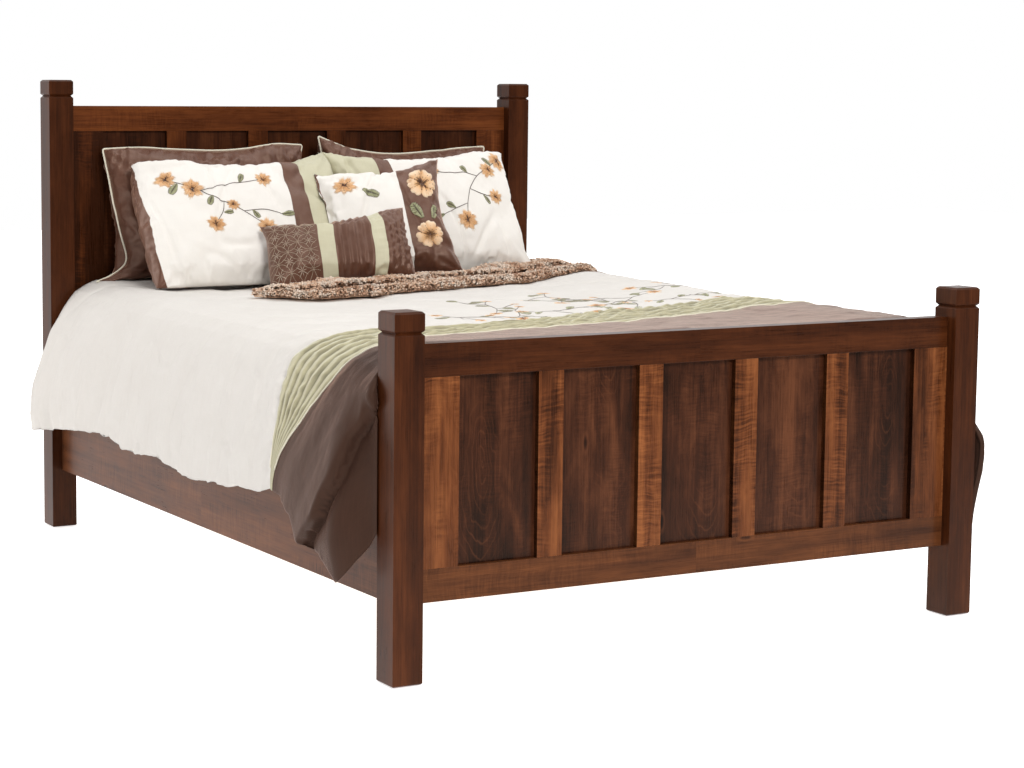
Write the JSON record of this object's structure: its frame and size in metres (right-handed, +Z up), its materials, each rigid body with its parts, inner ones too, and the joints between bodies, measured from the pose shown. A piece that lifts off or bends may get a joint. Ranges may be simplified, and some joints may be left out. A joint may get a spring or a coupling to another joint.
{
  "type": "queen panel bed with bedding",
  "caption": "Dark wood panel bed with square grooved posts, hook-on side rails, slatted support, mattress, layered comforter, pillows and a fur throw.",
  "frame": {"origin": "on the floor, at the middle of the bed's length and width", "axes": "+Y towards the headboard, +X to the sleeper's left when lying face up with the head at the headboard, which is the right side seen from the foot, +Z up"},
  "size_m": [1.86, 2.2352, 1.353],
  "materials": {
    "post_wood": "satin lacquer over dark chestnut stain",
    "rail_wood": "satin lacquer over dark chestnut stain",
    "stile_wood": "satin lacquer, lighter figured boards",
    "panel_wood": "satin lacquer, darkest boards",
    "plain_wood": "planed, unfinished",
    "zinc_steel": "zinc plated",
    "black_steel": "black coating",
    "nylon": "moulded",
    "box_spring_cloth": "woven cover",
    "ticking": "quilted knit",
    "cream_cotton": "smooth cotton, soft wrinkles",
    "sage_taffeta": "pleated, slight sheen",
    "brown_taffeta": "slight sheen",
    "piping": "corded edge",
    "apricot_thread": "satin stitch",
    "brown_thread": "satin stitch",
    "green_thread": "satin stitch",
    "faux_fur": "curled pile, two tones"
  },
  "bodies": {
    "bed": {"head_post_left": "post_wood", "head_post_right": "post_wood", "foot_post_left": "post_wood", "foot_post_right": "post_wood", "headboard_top_rail": "rail_wood", "headboard_bottom_rail": "rail_wood", "headboard_end_stiles": "stile_wood", "headboard_mid_stiles": "stile_wood", "headboard_panels": "panel_wood", "headboard_dowels": "plain_wood", "footboard_top_rail": "rail_wood", "footboard_bottom_rail": "rail_wood", "footboard_end_stiles": "stile_wood", "footboard_mid_stiles": "stile_wood", "footboard_panels": "panel_wood", "footboard_dowels": "plain_wood", "side_rail_left": "rail_wood", "side_rail_right": "rail_wood", "cleat_left": "plain_wood", "cleat_right": "plain_wood", "cleat_screws": "zinc_steel", "rail_hook_plates": "zinc_steel", "post_slot_plates": "zinc_steel", "hook_plate_screws": "zinc_steel", "slot_plate_screws": "zinc_steel", "slats": "plain_wood", "slat_screws": "zinc_steel", "centre_beam": "plain_wood", "beam_brackets": "zinc_steel", "bracket_screws": "zinc_steel", "centre_leg_front": "plain_wood", "centre_leg_rear": "plain_wood", "leg_bolts": "zinc_steel", "leg_bolt_washers": "zinc_steel", "leg_top_inserts": "zinc_steel", "leveller_inserts": "zinc_steel", "post_glides": "nylon", "box_spring": "box_spring_cloth", "mattress": "ticking", "comforter": "cream_cotton", "back_sham_left": "brown_taffeta", "back_sham_right": "brown_taffeta", "front_sham_left": "cream_cotton", "front_sham_right": "cream_cotton", "square_pillow": "brown_taffeta", "oblong_pillow": "brown_taffeta", "fur_throw": "faux_fur"},
    "front_foot": {"leveller_front": "black_steel"},
    "rear_foot": {"leveller_rear": "black_steel"}
  },
  "joints": [
    {"name": "front_foot_travel", "type": "slide", "parent": "bed", "child": "front_foot", "axis": [0, 0, 1], "range_m": [0, 0.012]},
    {"name": "rear_foot_travel", "type": "slide", "parent": "bed", "child": "rear_foot", "axis": [0, 0, 1], "range_m": [0, 0.012]}
  ]
}
